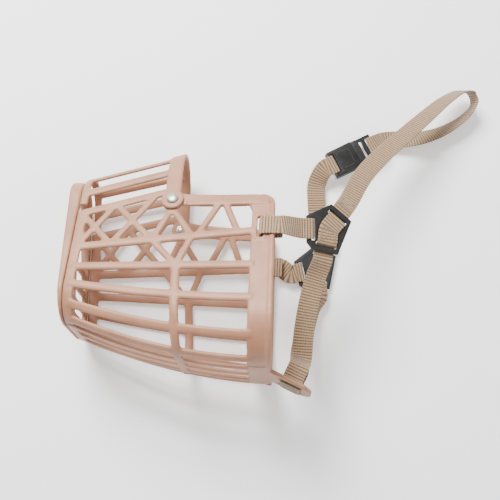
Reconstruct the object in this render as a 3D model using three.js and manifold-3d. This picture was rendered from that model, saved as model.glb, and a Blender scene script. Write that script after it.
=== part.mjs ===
// A moulded plastic basket muzzle with its webbing harness, lying on its far side wall.
// Millimetres, +Z up. The basket is first laid out in its own frame: u runs from the nose
// to the open rear, v towards the nose bridge and w across, towards the near side. Three
// support points on the far wall then turn it onto the surface that it lies on.
import * as THREE from 'three';
import { mergeVertices } from 'three/addons/utils/BufferGeometryUtils.js';
import Module from 'manifold-3d';

const wasm = await Module();
wasm.setup();

// Basket: overall sizes. t is the distance down a side wall from the straight datum rail.
const LENGTH = 157;
const HALF_FRONT = 38;
const HALF_REAR = 54;
const LEAN = THREE.MathUtils.degToRad(14);
const LOW_BEND = [13, 30];
const LOW_RADIUS = [22, 33];
const TOP_BEND = [-69, -114];

// Net bars. Each rail's distance from the datum is given at the front and at the rear.
const BAR = 7;
const SLIM_BAR = 5.5;
const WALL = 3.2;
const TOP_RAIL = [-49, -95];
const UPPER_RAIL = [-17.5, -32];
const DATUM_RAIL = [0, 0];
const LOWER_RAILS = [[14, 28], [28, 55], [40, 77]];
const CHIN_RAIL = [50, 97];
const POST_END = 8;
const BAND_START = 139;
const CHEEK_T = -60;
const CHEEK_RAIL = 11;
const RIB_U = 84;

// Nose bridge, rivets and chin tongue.
const RIVET_U = 76;
const RIVET_T = -60;
const BRIDGE_BAND = 12.5;
const TAB_RADIUS = 9;
const TAB_WALL = 2.8;
const RIVET_HEAD = 4.8;
const RIVET_SHANK = 2;
const RIVET_HEAD_HEIGHT = 2.2;
const WASHER_RADIUS = 4.5;
const WASHER_WALL = 1;
const FRONT_DEPTH = [2.5, 11];
const TONGUE_LENGTH = 36;
const TONGUE_WIDTH = 36;
const TONGUE_SLOPE = THREE.MathUtils.degToRad(24);

// Webbing and its fittings.
const WEBBING = 16;
const WEBBING_WALL = 1.4;
const SLOT_LENGTH = WEBBING + 3;
const SLOT_WIDTH = 4.5;
const SLOT_U = 146;
const SLOT_T = -33.5;
const PLATE_WALL = 2.4;
const PLATE_SLOT = 3.4;
const PLATE_SLOT_REACH = 12.5;
const PLATE_RIM = 3.6;
const BUCKLE_WIDTH = 24;
const BUCKLE_WALL = 9;
const SOCKET_LENGTH = 24;

// Gaps: between touching pieces, and round a pin or strap in its hole.
const GAP = 0.3;
const EASE = 0.35;

const half = WALL / 2;
const tabInside = half + GAP;
const tabOutside = tabInside + TAB_WALL;
const mix = (pair, share) => pair[0] + (pair[1] - pair[0]) * share;
const settle = (share) => 1 - (1 - Math.min(1, Math.max(0, share))) ** 2;

// A point of the basket's wall: u along, t down the wall, n outwards, side 1 near or -1 far.
function wall(u, t, n, side) {
  const share = u / LENGTH;
  const width = mix([HALF_FRONT, HALF_REAR], share);
  const low = mix(LOW_BEND, settle(share));
  const top = mix(TOP_BEND, share);
  const sin = Math.sin(LEAN);
  const cos = Math.cos(LEAN);
  const from = Math.min(low, Math.max(top, t));
  let v = -from * cos;
  let w = width + from * sin;
  let turn = 0;
  if (t > low) {
    const radius = mix(LOW_RADIUS, settle(share));
    const arc = Math.min((t - low) / radius, Math.PI / 2 + LEAN);
    v += radius * (Math.sin(LEAN - arc) - sin);
    w += radius * (Math.cos(LEAN - arc) - cos) - (t - low - arc * radius);
    turn = -arc;
  } else if (t < top) {
    const radius = w / cos;
    turn = (top - t) / radius;
    v += radius * (Math.sin(LEAN + turn) - sin);
    w = radius * Math.cos(LEAN + turn);
  }
  return new THREE.Vector3(u, v + n * Math.sin(LEAN + turn), side * (w + n * Math.cos(LEAN + turn)));
}

// The t at which the wall meets the basket's middle plane, over the bridge and under the chin.
function ridge(u) {
  const top = mix(TOP_BEND, u / LENGTH);
  const width = mix([HALF_FRONT, HALF_REAR], u / LENGTH) + top * Math.sin(LEAN);
  return top - (width / Math.cos(LEAN)) * (Math.PI / 2 - LEAN);
}
function keel(u) {
  const share = settle(u / LENGTH);
  const low = mix(LOW_BEND, share);
  const radius = mix(LOW_RADIUS, share);
  const arc = Math.PI / 2 + LEAN;
  const edge = wall(u, low + radius * arc, 0, 1).z;
  return low + radius * arc + edge;
}

// Closed solids, their joins and cuts.
function solid(geometry) {
  const bare = geometry.clone();
  bare.deleteAttribute('normal');
  bare.deleteAttribute('uv');
  const merged = mergeVertices(bare, 1e-4);
  const corners = merged.attributes.position;
  const faces = Uint32Array.from(merged.index.array);
  const [a, b, c] = [new THREE.Vector3(), new THREE.Vector3(), new THREE.Vector3()];
  let volume = 0;
  for (let i = 0; i < faces.length; i += 3) {
    a.fromBufferAttribute(corners, faces[i]);
    b.fromBufferAttribute(corners, faces[i + 1]);
    c.fromBufferAttribute(corners, faces[i + 2]);
    volume += a.dot(b.cross(c));
  }
  if (volume < 0) {
    for (let i = 0; i < faces.length; i += 3) {
      [faces[i + 1], faces[i + 2]] = [faces[i + 2], faces[i + 1]];
    }
  }
  const mesh = new wasm.Mesh({
    numProp: 3,
    vertProperties: Float32Array.from(corners.array),
    triVerts: faces,
  });
  mesh.merge();
  return new wasm.Manifold(mesh);
}
const join = (pieces) => pieces.reduce((whole, piece) => whole.add(piece));
const cut = (whole, tools) => tools.reduce((rest, tool) => rest.subtract(tool), whole);

function bend(geometry, place) {
  const corners = geometry.attributes.position;
  const corner = new THREE.Vector3();
  for (let i = 0; i < corners.count; i += 1) {
    corner.fromBufferAttribute(corners, i);
    const moved = place(corner.x, corner.y, corner.z);
    corners.setXYZ(i, moved.x, moved.y, moved.z);
  }
  return solid(geometry);
}

// A flat bar of the net that follows path(share) = [u, t] over the wall.
function bar(side, path, width, inside = -half, outside = half, steps = 8) {
  const geometry = new THREE.BoxGeometry(1, 1, 1, steps, 1, 1);
  return bend(geometry, (x, y, z) => {
    const share = x + 0.5;
    const [u, t] = path(share);
    const [u0, t0] = path(share - 0.01);
    const [u1, t1] = path(share + 0.01);
    const length = Math.hypot(u1 - u0, t1 - t0);
    const across = (y * width) / length;
    return wall(u - (t1 - t0) * across, t + (u1 - u0) * across, z > 0 ? outside : inside, side);
  });
}
const line = (from, to) => (share) => [mix([from[0], to[0]], share), mix([from[1], to[1]], share)];
const rail = (heights, start, end, flat) => (share) => {
  const u = mix([start, end], share);
  return [u, mix(heights, flat ? u / LENGTH : settle(u / LENGTH))];
};
const disc = (side, u, t, radius, inside, outside, sides = 24) => bend(
  new THREE.CylinderGeometry(radius, radius, 1, sides),
  (x, y, z) => wall(u + x, t + z, y > 0 ? outside : inside, side),
);

const topRail = (u) => mix(TOP_RAIL, u / LENGTH);
const upperRail = (u) => mix(UPPER_RAIL, u / LENGTH);
const seam = (u) => (mix(LOWER_RAILS[2], settle(u / LENGTH)) + mix(CHIN_RAIL, settle(u / LENGTH))) / 2;

// A side net: post, rails, braces, rib, cheek rail and the rear band with its strap slot.
function sideNet(side) {
  const start = GAP + BAR / 2;
  const topEnd = RIVET_U - 2;
  const postU = POST_END / 2 + GAP;
  const band = LENGTH - BAND_START;
  const bandMiddle = BAND_START + band / 2;
  const bandEnd = seam(LENGTH) - GAP / 2;
  const cells = [start, 31, 63, 94];
  const pieces = [
    bar(side, line([postU, topRail(0) - BAR / 2], [postU, seam(POST_END) - GAP]), POST_END, -half, half, 16),
    bar(side, rail(TOP_RAIL, start, topEnd, true), BAR),
    bar(side, rail(UPPER_RAIL, start, BAND_START + 2, true), BAR),
    bar(side, rail(DATUM_RAIL, start, BAND_START + 2, true), BAR),
    ...LOWER_RAILS.map((heights) => bar(side, rail(heights, start, BAND_START + 2), BAR, -half, half, 10)),
    bar(side, line([RIB_U, 0], [RIB_U + 4, seam(RIB_U) - GAP / 2]), BAR, -half, half, 14),
    bar(side, line([bandMiddle, CHEEK_T + 4], [bandMiddle, bandEnd]), band, -half, half, 24),
    bar(side, line([LENGTH - 2, CHEEK_T + 5], [LENGTH - 2, bandEnd]), 4, -half, half + 1, 24),
    bar(side, (share) => [mix([RIVET_U, BAND_START + 4], share), CHEEK_T - 3 * (1 - share) ** 4], CHEEK_RAIL),
    bar(side, (share) => [mix([RIVET_U + TAB_RADIUS + 3, LENGTH - 4], share), CHEEK_T + 3.5], 3.5, half - 1, half + 1),
    disc(side, RIVET_U, RIVET_T, TAB_RADIUS - 0.5, -half, half),
    disc(side, BAND_START + 8, CHEEK_T + 4, CHEEK_RAIL - 1.5, -half, half),
    disc(side, LENGTH - 10, CHEEK_T + 4.5, 10, -half, half),
  ];
  for (let i = 0; i < 3; i += 1) {
    const [u0, u1] = [cells[i], cells[i + 1]];
    const endTop = i === 2 ? [RIVET_U + 3, RIVET_T] : [u1, topRail(u1)];
    const startTop = i === 2 ? [RIVET_U - 4, RIVET_T] : [u0, topRail(u0)];
    pieces.push(bar(side, line(startTop, [u1, upperRail(u1)]), SLIM_BAR, -half, half, 4));
    pieces.push(bar(side, line([u0, upperRail(u0)], endTop), SLIM_BAR, -half, half, 4));
  }
  const braces = [
    [[cells[2], upperRail(cells[2])], [RIB_U, 0]],
    [[cells[3], upperRail(cells[3])], [RIB_U, 0]],
    [[98, upperRail(98)], [115, CHEEK_T]],
    [[129, upperRail(129)], [117, CHEEK_T]],
  ];
  braces.forEach(([from, to]) => pieces.push(bar(side, line(from, to), SLIM_BAR, -half, half, 4)));
  const slotHalf = SLOT_LENGTH / 2;
  const slotPath = (extra) => line([SLOT_U, SLOT_T - slotHalf - extra], [SLOT_U, SLOT_T + slotHalf + extra]);
  const slot = bar(side, slotPath(0), SLOT_WIDTH, -WALL * 2, WALL * 2, 2);
  const rim = bar(side, slotPath(2), SLOT_WIDTH + 4, 0, half + 0.6, 2);
  const hole = disc(side, RIVET_U, RIVET_T, RIVET_SHANK + EASE, -WALL * 2, WALL * 2, 16);
  return cut(join([...pieces, rim]), [slot, hole]);
}

// The nose bridge: four lengthwise bars, a front cross strip and the riveted band.
function noseBridge() {
  const pieces = [1, -1].flatMap((side) => {
    const bars = [[18, BAR], [35, SLIM_BAR]].map(([rise, width]) => {
      const path = line([POST_END / 2, topRail(POST_END / 2) - rise], [RIVET_U, topRail(RIVET_U) - rise]);
      return bar(side, path, width, GAP, WALL + GAP);
    });
    const strip = POST_END / 2 + GAP;
    return [
      ...bars,
      bar(side, line([strip, topRail(strip) - BAR], [strip, ridge(strip) - 1]), POST_END - 2, GAP, WALL + GAP, 12),
      bar(side, line([RIVET_U, RIVET_T], [RIVET_U, ridge(RIVET_U) - 1]), BRIDGE_BAND, tabInside, tabOutside, 16),
      disc(side, RIVET_U, RIVET_T, TAB_RADIUS, tabInside, tabOutside),
    ];
  });
  const bore = RIVET_SHANK + EASE;
  const holes = [1, -1].map((side) => disc(side, RIVET_U, RIVET_T, bore, -WALL, WALL * 3, 16));
  return cut(join(pieces), holes);
}

// The chin net: rails under the jaw, the bottom of the rear band and the tongue for the strap.
function chinNet() {
  const strip = POST_END / 2 + GAP;
  const bandMiddle = (BAND_START + LENGTH) / 2;
  const middle = (share) => {
    const u = mix([strip, LENGTH - 4], share);
    return [u, keel(u)];
  };
  const rib = RIB_U + 4;
  const band = LENGTH - BAND_START;
  const pieces = [1, -1].flatMap((side) => [
    bar(side, rail(CHIN_RAIL, POST_END, BAND_START + 2), BAR, -half, half, 10),
    bar(side, line([strip, seam(POST_END) + GAP], [strip, keel(strip) + 1]), POST_END, -half, half, 8),
    bar(side, line([rib, seam(RIB_U) + GAP / 2], [rib, keel(rib) + 1]), BAR, -half, half, 8),
    bar(side, line([bandMiddle, seam(LENGTH) + GAP / 2], [bandMiddle, keel(bandMiddle) + 1]), band, -half, half, 8),
  ]);
  const floor = wall(LENGTH, keel(LENGTH), 0, 1).y;
  const outline = new THREE.Shape();
  const tip = TONGUE_WIDTH / 2 - 9;
  outline.moveTo(0, -TONGUE_WIDTH / 2);
  outline.lineTo(TONGUE_LENGTH - 6, -TONGUE_WIDTH / 2 + 3);
  outline.absarc(TONGUE_LENGTH - 8, -tip, 8, -Math.PI / 2, 0);
  outline.absarc(TONGUE_LENGTH - 8, tip, 8, 0, Math.PI / 2);
  outline.lineTo(0, TONGUE_WIDTH / 2);
  [-1, 1].forEach((side) => {
    const hole = new THREE.Path();
    const near = side * 8;
    const far = side * (8 + PLATE_SLOT + 0.6);
    hole.moveTo(TONGUE_LENGTH - 8 - SLOT_LENGTH, near);
    hole.lineTo(TONGUE_LENGTH - 8, near);
    hole.lineTo(TONGUE_LENGTH - 8, far);
    hole.lineTo(TONGUE_LENGTH - 8 - SLOT_LENGTH, far);
    outline.holes.push(hole);
  });
  const plate = new THREE.ExtrudeGeometry(outline, { depth: WALL, bevelEnabled: false, curveSegments: 6 });
  const tongue = bend(plate, (x, y, z) => new THREE.Vector3(
    LENGTH - 2 + x * Math.cos(TONGUE_SLOPE) - (z - half) * Math.sin(TONGUE_SLOPE),
    floor - x * Math.sin(TONGUE_SLOPE) + (z - half) * Math.cos(TONGUE_SLOPE), y,
  ));
  const root = solid(new THREE.BoxGeometry(8, WALL, TONGUE_WIDTH).translate(LENGTH - 4, floor, 0));
  return join([...pieces, bar(1, middle, BAR, -half, half, 10), root, tongue]);
}

// The front grille: the section's outline at the nose, with openings between level bars.
function frontGrille() {
  const count = 28;
  const [topT, lowT] = [ridge(0), keel(0)];
  const edge = Array.from({ length: count + 1 }, (_, i) => wall(0, mix([topT, lowT], i / count), half, 1));
  const inside = edge.slice(1, -1).map((p) => new THREE.Vector2(p.z, p.y));
  const mirrored = inside.map((p) => new THREE.Vector2(-p.x, p.y)).reverse();
  const shape = new THREE.Shape([...inside, ...mirrored]);
  const [top, bottom] = [edge[0].y, edge[count].y];
  const plate = bend(new THREE.ExtrudeGeometry(shape, { depth: 1, bevelEnabled: false }), (x, y, z) => {
    const rise = (y - bottom) / (top - bottom);
    return new THREE.Vector3(z > 0.5 ? 0 : -mix(FRONT_DEPTH, rise), y, x);
  });
  const widthAt = (v) => {
    const next = inside.findIndex((p) => p.y < v);
    const [above, below] = [inside[next - 1], inside[next]];
    return mix([above.x, below.x], (above.y - v) / (above.y - below.y));
  };
  const levels = [TOP_RAIL[0], UPPER_RAIL[0], 0, LOWER_RAILS[0][0], LOWER_RAILS[1][0]];
  const rows = [top - BAR * 1.5, ...levels.map((t) => wall(0, t, 0, 1).y), bottom + BAR * 1.5];
  const holes = rows.slice(1).flatMap((row, i) => {
    const [high, low] = [rows[i] - SLIM_BAR / 2, row + SLIM_BAR / 2];
    return [-1, 1].map((hand) => {
      const [wide, narrow] = [widthAt(high) - BAR, widthAt(low) - BAR].map((width) => hand * width);
      const hole = new THREE.Shape([new THREE.Vector2(hand * SLIM_BAR / 2, high), new THREE.Vector2(wide, high),
        new THREE.Vector2(narrow, low), new THREE.Vector2(hand * SLIM_BAR / 2, low)]);
      const prism = new THREE.ExtrudeGeometry(hole, { depth: FRONT_DEPTH[1] * 4, bevelEnabled: false });
      return bend(prism, (x, y, z) => new THREE.Vector3(z - FRONT_DEPTH[1] * 2, y, x));
    });
  });
  return cut(plate, holes);
}

// Rivets and washers turn about the wall's normal at the tab.
function turned(profile, side) {
  const geometry = new THREE.LatheGeometry(profile.map(([r, n]) => new THREE.Vector2(r, n)), 20);
  return bend(geometry, (x, y, z) => wall(RIVET_U + x, RIVET_T + z, y, side));
}
function rivet(side) {
  const seat = tabOutside + GAP;
  const tail = -half - GAP - WASHER_WALL - GAP;
  const profile = [[0, seat + RIVET_HEAD_HEIGHT], [RIVET_HEAD * 0.45, seat + RIVET_HEAD_HEIGHT * 0.85],
    [RIVET_HEAD * 0.8, seat + RIVET_HEAD_HEIGHT * 0.5], [RIVET_HEAD, seat], [RIVET_SHANK, seat], [RIVET_SHANK, tail],
    [RIVET_SHANK + 1.2, tail], [RIVET_SHANK + 0.8, tail - 1], [0, tail - 1.2]];
  return turned(profile, side);
}
function washer(side) {
  const [low, high] = [-half - GAP - WASHER_WALL, -half - GAP];
  const bore = RIVET_SHANK + EASE;
  return turned([[bore, low], [WASHER_RADIUS, low], [WASHER_RADIUS, high], [bore, high], [bore, low]], side);
}

// The turn that lays the far wall on the surface: it rests on the rivet head and on two low
// points of the wall, one at the front and one at the rear band.
const headTop = tabOutside + GAP + RIVET_HEAD_HEIGHT;
const rests = [
  wall(RIVET_U, RIVET_T, headTop, -1),
  wall(5, LOW_BEND[0], half, -1),
  wall(LENGTH - 3, LOW_BEND[1], half + 1, -1),
];
const up = rests[1].clone().sub(rests[0]).cross(rests[2].clone().sub(rests[0])).normalize();
if (up.z < 0) up.negate();
const along = new THREE.Vector3(1, 0, 0).addScaledVector(up, -up.x).normalize();
const side = up.clone().cross(along);
const lay = new THREE.Matrix4().makeBasis(along, side, up).transpose();
lay.setPosition(-140, -4, -rests[0].clone().applyMatrix4(lay).z);
const layers = lay.elements.slice();
const laid = (piece) => piece.transform(layers);
const world = (u, t, n, hand) => wall(u, t, n, hand).applyMatrix4(lay);
const inBasket = (x, y, z) => new THREE.Vector3(x, y, z).applyMatrix4(lay);

// A strap: each stop is a point and the direction of the strap's width there.
function strap(stops, steps, width = WEBBING) {
  const curve = new THREE.CatmullRomCurve3(stops.map((stop) => stop.at), false, 'centripetal');
  const geometry = new THREE.BoxGeometry(1, 1, 1, steps, 1, 1);
  const spread = (share) => {
    const place = share * (stops.length - 1);
    const index = Math.min(stops.length - 2, Math.floor(place));
    return stops[index].wide.clone().lerp(stops[index + 1].wide, place - index).normalize();
  };
  return bend(geometry, (x, y, z) => {
    const share = Math.min(1, Math.max(0, x + 0.5));
    const tangent = curve.getTangent(share);
    const wide = spread(share);
    wide.addScaledVector(tangent, -wide.dot(tangent)).normalize();
    const thick = tangent.clone().cross(wide);
    return curve.getPoint(share).addScaledVector(wide, y * width).addScaledVector(thick, z * WEBBING_WALL);
  });
}
const stop = (at, wide) => ({ at, wide: wide.clone().normalize() });

// The harness is laid out for a near slot at one place, and follows it when the basket changes.
const NEAR_SLOT = new THREE.Vector2(11.5326, 36.2458);
const nearSlot = world(LENGTH, SLOT_T, 0, 1);
const harness = (x, y, z) => new THREE.Vector3(x + nearSlot.x - NEAR_SLOT.x, y + nearSlot.y - NEAR_SLOT.y, z);

// A stop where the strap runs towards a heading, with its edge inside the turn lifted by tilt.
const tiltedStop = (x, y, z, heading, tilt) => {
  const turn = THREE.MathUtils.degToRad(heading - 90);
  const lift = THREE.MathUtils.degToRad(tilt);
  const level = Math.cos(lift);
  return stop(harness(x, y, z), new THREE.Vector3(Math.cos(turn) * level, Math.sin(turn) * level, Math.sin(lift)));
};
const flatStop = (x, y, z, heading) => tiltedStop(x, y, z, heading, 0);

// Three-way connectors: a flat plate with one slot for each strap.
const SLOT_TURNS = { cheek: 182, neck: 54, chin: 262 };
const nearPlate = { middle: harness(54.5, 39, 82), tilt: 0.2, turn: 0 };
const farPlate = { middle: harness(58, 20, 3.4), tilt: 0, turn: THREE.MathUtils.degToRad(12) };
function plateFrame(plate) {
  const normal = new THREE.Vector3(plate.tilt, 0, 1).normalize();
  const level = new THREE.Vector3(Math.cos(plate.turn), Math.sin(plate.turn), 0);
  const x = level.addScaledVector(normal, -level.dot(normal)).normalize();
  return new THREE.Matrix4().makeBasis(x, normal.clone().cross(x), normal).setPosition(plate.middle);
}
function plateSolid(plate) {
  const reach = PLATE_SLOT_REACH + PLATE_SLOT / 2 + PLATE_RIM;
  const corners = ['neck', 'cheek', 'chin'].flatMap((name) => {
    const turn = THREE.MathUtils.degToRad(SLOT_TURNS[name]);
    return [-1, 1].map((hand) => new THREE.Vector2(
      Math.cos(turn) * reach - Math.sin(turn) * hand * (SLOT_LENGTH / 2 + 1),
      Math.sin(turn) * reach + Math.cos(turn) * hand * (SLOT_LENGTH / 2 + 1),
    ));
  });
  corners.sort((a, b) => a.angle() - b.angle());
  const shape = new THREE.Shape(corners);
  const body = solid(new THREE.ExtrudeGeometry(shape, { depth: PLATE_WALL, bevelEnabled: false })
    .translate(0, 0, -PLATE_WALL / 2));
  const slots = Object.values(SLOT_TURNS).map((degrees) => solid(
    new THREE.BoxGeometry(PLATE_SLOT, SLOT_LENGTH - 1.4, PLATE_WALL * 4).translate(PLATE_SLOT_REACH, 0, 0)
      .rotateZ(THREE.MathUtils.degToRad(degrees)),
  ));
  return cut(body, slots).transform(plateFrame(plate).elements.slice());
}
// The end of a strap at one slot, from its tip in the slot to its run over the outer bar, or
// under it when face is -1.
function turnStops(plate, name, face = 1) {
  const frame = plateFrame(plate);
  const angle = THREE.MathUtils.degToRad(SLOT_TURNS[name]);
  const wide = new THREE.Vector3(-Math.sin(angle), Math.cos(angle), 0).transformDirection(frame);
  const level = PLATE_WALL / 2 + GAP + WEBBING_WALL / 2 + 0.1;
  const edge = PLATE_SLOT_REACH + PLATE_SLOT / 2 + PLATE_RIM;
  const at = (reach, height) => stop(
    new THREE.Vector3(Math.cos(angle) * reach, Math.sin(angle) * reach, height * face).applyMatrix4(frame), wide,
  );
  return [
    at(PLATE_SLOT_REACH, level - 0.9),
    at(PLATE_SLOT_REACH + 1.3, level),
    at(edge, level),
    at(edge + 6, level + 0.2),
  ];
}

// The chin strap's start: it lies over the near connector's middle, from the neck slot to the
// chin slot, and goes down through that slot and under its outer bar.
function crossingStops() {
  const frame = plateFrame(nearPlate);
  const level = PLATE_WALL / 2 + GAP + WEBBING_WALL / 2 + 0.1;
  const [neck, chin] = ['neck', 'chin'].map((name) => THREE.MathUtils.degToRad(SLOT_TURNS[name]));
  const at = (angle, reach, height, sign) => stop(
    new THREE.Vector3(Math.cos(angle) * reach, Math.sin(angle) * reach, height).applyMatrix4(frame),
    new THREE.Vector3(-Math.sin(angle) * sign, Math.cos(angle) * sign, 0).transformDirection(frame),
  );
  return [
    at(neck, 11.8, level - 0.4, -1), at(neck, 9.5, level, -1), at(chin, 0.01, level, 1),
    at(chin, 9.5, level, 1), at(chin, PLATE_SLOT_REACH - 0.5, level - 1, 1), at(chin, PLATE_SLOT_REACH + 0.3, 1 - level, 1),
    ...turnStops(nearPlate, 'chin', -1).slice(1),
  ];
}

// Cheek straps: round the rear strip of the band and back to the connector.
function cheekStrap(hand, plate) {
  const down = world(LENGTH, SLOT_T + 1, 0, hand).sub(world(LENGTH, SLOT_T, 0, hand));
  const at = (u, n) => stop(world(u, SLOT_T, n, hand), down);
  const over = half + 1 + GAP + WEBBING_WALL / 2 + 0.2;
  const under = half + GAP + WEBBING_WALL / 2 + 0.1;
  const tail = [
    at(LENGTH + 6, -under + 0.6), at(LENGTH - 1, -under), at(SLOT_U + 1.6, -under), at(SLOT_U, -under + 1),
    at(SLOT_U, over - 1), at(SLOT_U + 1.6, over), at(LENGTH - 1, over), at(LENGTH + 5, over - 0.4),
  ];
  const end = turnStops(plate, 'cheek').reverse();
  if (end[0].wide.dot(down) < 0) end.forEach((one) => one.wide.negate());
  return strap([...tail, ...end], 56);
}

// The chin strap: near connector, down through the tongue, under it and up to the far one.
function chinStrap() {
  const floor = wall(LENGTH, keel(LENGTH), 0, 1).y;
  const reach = TONGUE_LENGTH - 8 - SLOT_LENGTH / 2;
  const slope = new THREE.Vector3(Math.cos(TONGUE_SLOPE), -Math.sin(TONGUE_SLOPE), 0);
  const direction = slope.transformDirection(lay);
  const at = (height, across) => stop(inBasket(
    LENGTH - 2 + reach * Math.cos(TONGUE_SLOPE) + height * Math.sin(TONGUE_SLOPE),
    floor - reach * Math.sin(TONGUE_SLOPE) + height * Math.cos(TONGUE_SLOPE), across,
  ), direction);
  const slot = 8 + (PLATE_SLOT + 0.6) / 2;
  const under = half + GAP + WEBBING_WALL / 2 + 0.1;
  const start = crossingStops();
  const end = turnStops(farPlate, 'chin').reverse();
  const flip = (stops) => stops.map((one) => (
    one.wide.dot(direction) < 0 ? stop(one.at, one.wide.clone().negate()) : one
  ));
  return strap([
    ...flip(start),
    flatStop(46.5, 2, 74, 74), flatStop(42, -18, 70, 76), flatStop(39, -42, 66, 76), flatStop(38, -60, 65, 74),
    at(14, slot), at(7, slot), at(2, slot), at(-under + 0.6, slot), at(-under, slot - 2),
    at(-under, -slot + 2), at(-under + 0.6, -slot), at(2, -slot), at(7, -slot), at(14, -slot),
    flatStop(41, -54, 34, 68), flatStop(48, -30, 17, 72), flatStop(54, -13, 7, 78),
    ...flip(end),
  ], 84);
}

// The neck strap on the near side: from the near connector out to the fold and back.
const BUCKLE = { middle: harness(88, 122, 8), heading: 29 };
const buckleFrame = new THREE.Matrix4().makeRotationZ(THREE.MathUtils.degToRad(BUCKLE.heading))
  .setPosition(BUCKLE.middle);
const onBuckle = (x, z) => stop(
  new THREE.Vector3(x, 0, z).applyMatrix4(buckleFrame), new THREE.Vector3(0, -1, 0).transformDirection(buckleFrame),
);
function nearNeckStrap() {
  const start = turnStops(nearPlate, 'neck', -1);
  const sign = start.map((one) => stop(one.at, one.wide.clone().negate()));
  return strap([
    ...sign,
    tiltedStop(73, 66, 70, 57, 0),
    tiltedStop(86, 89, 62, 53, 8),
    tiltedStop(103, 109.5, 53, 46, 18),
    tiltedStop(123, 129.5, 44.5, 44, 26),
    tiltedStop(146, 152, 35.5, 44, 36),
    tiltedStop(167.5, 172.5, 26.5, 39, 50),
    tiltedStop(183.5, 183.5, 20, 18, 64),
    tiltedStop(194.5, 184.5, 15, -28, 80),
    tiltedStop(198.5, 176.5, 12, -85, 96),
    tiltedStop(191.5, 165.5, 10, -128, 112),
    tiltedStop(180, 156, 9, -142, 124),
    tiltedStop(165, 147.5, 8.5, -153, 138),
    tiltedStop(148, 142, 8, -166, 152),
    tiltedStop(134, 140.5, 6.5, -168, 167),
    onBuckle(35, -2),
    onBuckle(28, 3.6),
    onBuckle(20, 6.2),
    onBuckle(15.5, 6.2),
  ], 110);
}
function farNeckStrap() {
  const start = turnStops(farPlate, 'neck');
  return strap([
    ...start.map((one) => stop(one.at, one.wide.clone().negate())),
    flatStop(60, 58, 4.5, 90), flatStop(57, 80, 5, 88), flatStop(57, 96, 5, 72),
    onBuckle(-29, 4.4), onBuckle(-24, 5.9), onBuckle(-19.5, 5.9), onBuckle(-18, 4.6), onBuckle(-18, -4.4),
  ], 48);
}

// The side-release buckle. Its own x runs from the socket's strap bar to the plug's ladder.
const block = (x0, x1, y, z) => solid(new THREE.BoxGeometry(x1 - x0, y * 2, z * 2).translate((x0 + x1) / 2, 0, 0));
const atBuckle = (piece) => piece.transform(buckleFrame.elements.slice());
const MOUTH = SOCKET_LENGTH - 21;
function buckleSocket() {
  const y = BUCKLE_WIDTH / 2;
  const z = BUCKLE_WALL / 2;
  return cut(block(-21, MOUTH, y, z), [
    block(-14, MOUTH + 1, y - 2.5, z - 1.7), block(-12, -3, y + 1, z - 2.3),
    block(-19.4, -16.2, SLOT_LENGTH / 2 - 0.6, z + 1),
  ]);
}
function bucklePlug() {
  const y = BUCKLE_WIDTH / 2 - 0.5;
  const z = BUCKLE_WALL / 2 - 0.6;
  const ladder = cut(block(MOUTH + GAP, 22, y, z - 1.4), [block(10, 13.4, SLOT_LENGTH / 2 - 0.6, z + 1),
    block(16.2, 19.6, SLOT_LENGTH / 2 - 0.6, z + 1)]);
  return join([ladder, block(MOUTH + GAP, 8, y, z), block(-11, MOUTH + 1, 2.6, z - 1.9)]);
}
const PRONG_HINGE = 2.4;
function prong(hand) {
  const shape = new THREE.Shape();
  const y = BUCKLE_WIDTH / 2;
  [[PRONG_HINGE, y - 5.4], [-11.4, y - 5.4], [-11.4, y - 2.6], [-9.5, y - 0.4], [-3.6, y - 0.4], [-3.6, y - 3.1],
    [PRONG_HINGE, y - 3.1]].forEach(([px, py], i) => shape[i ? 'lineTo' : 'moveTo'](px, py * hand));
  return solid(new THREE.ExtrudeGeometry(shape, { depth: 3.4, bevelEnabled: false }).translate(0, 0, -1.7));
}

// Colours and the scene graph.
const PLASTIC = { color: 0xd0ac92, roughness: 0.45, metalness: 0 };
const SHADED = { color: 0xc4a086, roughness: 0.45, metalness: 0 };
const CLOTH = { color: 0x99816b, roughness: 0.9, metalness: 0 };
const BLACK = { color: 0x2c2c2b, roughness: 0.4, metalness: 0 };
const STEEL = { color: 0xb9c0b4, roughness: 0.3, metalness: 1 };

const object = new THREE.Group();
const assembly = new THREE.Group();
object.add(assembly);
function add(name, finish, piece) {
  const { vertProperties, triVerts } = piece.getMesh();
  const geometry = new THREE.BufferGeometry();
  geometry.setAttribute('position', new THREE.BufferAttribute(Float32Array.from(vertProperties), 3));
  geometry.setIndex(new THREE.BufferAttribute(Uint32Array.from(triVerts), 1));
  geometry.computeVertexNormals();
  const mesh = new THREE.Mesh(geometry, new THREE.MeshStandardMaterial(finish));
  mesh.name = name;
  assembly.add(mesh);
}

add('front_grille', PLASTIC, laid(frontGrille()));
add('nose_bridge', PLASTIC, laid(noseBridge()));
add('near_side_net', PLASTIC, laid(sideNet(1)));
add('far_side_net', SHADED, laid(sideNet(-1)));
add('chin_net', PLASTIC, laid(chinNet()));
[['near', 1], ['far', -1]].forEach(([name, hand]) => {
  add(`${name}_rivet`, STEEL, laid(rivet(hand)));
  add(`${name}_rivet_washer`, STEEL, laid(washer(hand)));
});
add('near_cheek_strap', CLOTH, cheekStrap(1, nearPlate));
add('far_cheek_strap', CLOTH, cheekStrap(-1, farPlate));
add('near_connector', BLACK, plateSolid(nearPlate));
add('far_connector', BLACK, plateSolid(farPlate));
add('chin_strap', CLOTH, chinStrap());
add('near_neck_strap', CLOTH, nearNeckStrap());
add('far_neck_strap', CLOTH, farNeckStrap());
add('buckle_socket', BLACK, atBuckle(buckleSocket()));
add('buckle_plug', BLACK, atBuckle(bucklePlug()));
add('upper_prong', BLACK, atBuckle(prong(1)));
add('lower_prong', BLACK, atBuckle(prong(-1)));

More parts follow.
